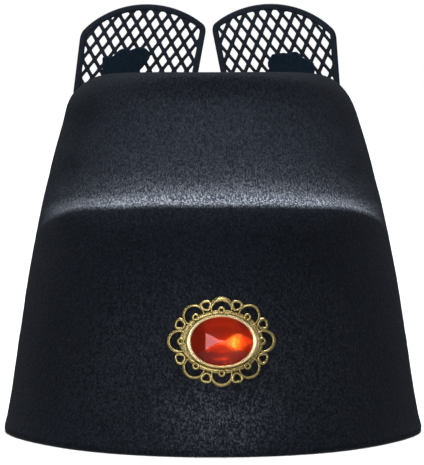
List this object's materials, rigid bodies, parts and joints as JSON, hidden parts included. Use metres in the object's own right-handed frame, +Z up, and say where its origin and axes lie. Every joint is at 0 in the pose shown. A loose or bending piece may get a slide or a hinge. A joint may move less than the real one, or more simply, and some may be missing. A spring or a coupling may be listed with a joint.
{
  "type": "felt court cap with lattice wings and brooch",
  "caption": "Black pressed-felt costume cap with a stepped crown, two upright lattice wings at the back and a gilt filigree brooch with a red oval stone in front.",
  "frame": {"origin": "on the surface that the rim rests on, below the middle of the cap's bounding box", "axes": "+Z up, -Y towards the front with the brooch, +X to the right as seen from the front"},
  "size_m": [0.1848, 0.206, 0.1903],
  "materials": {
    "black_felt": "pressed wool felt, short matted nap",
    "black_plastic": "moulded, satin",
    "gilt_metal": "polished pale gold plating",
    "red_stone": "clear red acrylic with a foil back, faceted"
  },
  "bodies": {
    "root": {"crown": "black_felt", "wing_left": "black_plastic", "wing_right": "black_plastic", "wing_tab_left": "black_felt", "wing_tab_right": "black_felt", "brooch_setting": "gilt_metal", "gem": "red_stone"}
  },
  "joints": []
}
